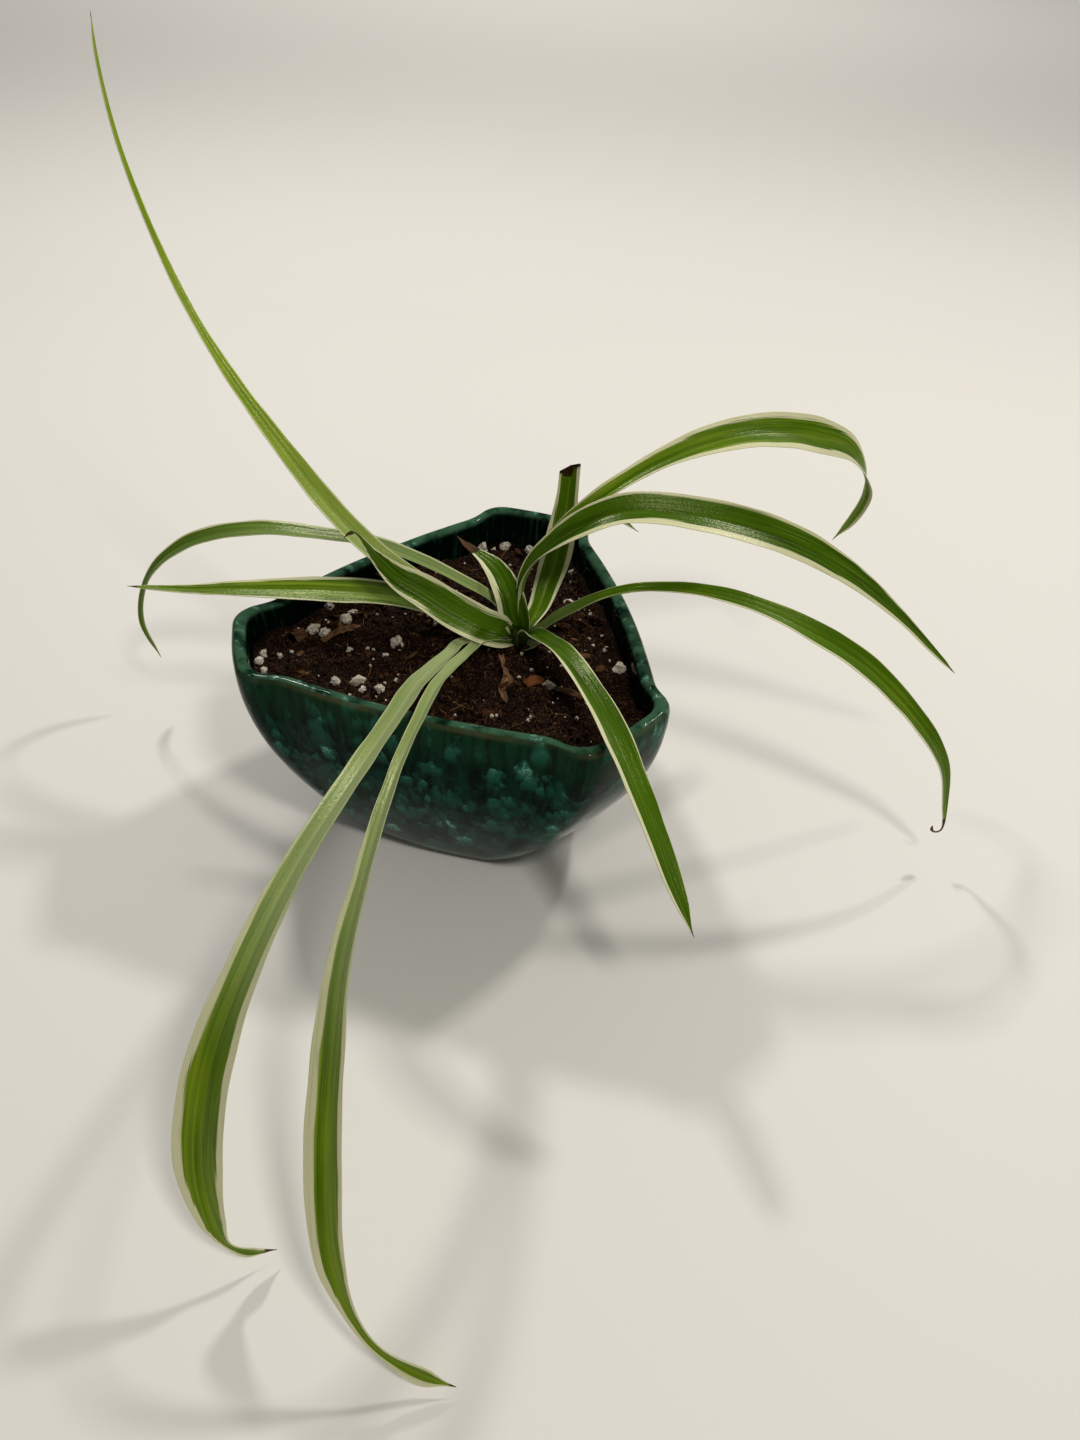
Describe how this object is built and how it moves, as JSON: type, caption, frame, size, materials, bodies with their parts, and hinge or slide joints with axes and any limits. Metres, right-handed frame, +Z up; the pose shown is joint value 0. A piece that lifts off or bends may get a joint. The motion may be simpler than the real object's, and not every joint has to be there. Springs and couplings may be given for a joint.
{
  "type": "potted spider plant",
  "caption": "Spider plant with arching cream-edged leaves, rooted in dark potting soil with perlite, in a green-glazed pot of rounded three-cornered plan that stands on a flat base.",
  "frame": {"origin": "middle of the pot's flat base, on the surface that it stands on", "axes": "+Z up, out of the pot; +Y to the pot's back corner; +X to the right as seen when facing the pot's long front side"},
  "size_m": [0.4131, 0.3958, 0.3172],
  "materials": {
    "glaze": "gloss",
    "soil": "matte",
    "crown": "satin",
    "leaf": "satin",
    "dry_leaf": "matte",
    "wood": "matte",
    "bark": "matte"
  },
  "bodies": {
    "root": {"pot": "glaze", "soil": "soil", "crown": "crown", "leaf_tall_back_left": "leaf", "leaf_short_left": "leaf", "leaf_droop_left": "leaf", "leaf_level_left": "leaf", "leaf_short_back": "leaf", "leaf_upright_back": "leaf", "leaf_long_right": "leaf", "leaf_arch_back_right": "leaf", "leaf_narrow_right": "leaf", "leaf_front_right": "leaf", "leaf_long_front_outer": "leaf", "leaf_long_front_inner": "leaf", "leaf_hidden_right": "leaf", "leaf_young_left": "leaf", "dead_leaf": "dry_leaf", "dry_leaf_piece": "dry_leaf", "wood_strip": "wood", "bark_chip": "bark", "bark_strip": "bark"}
  },
  "joints": []
}
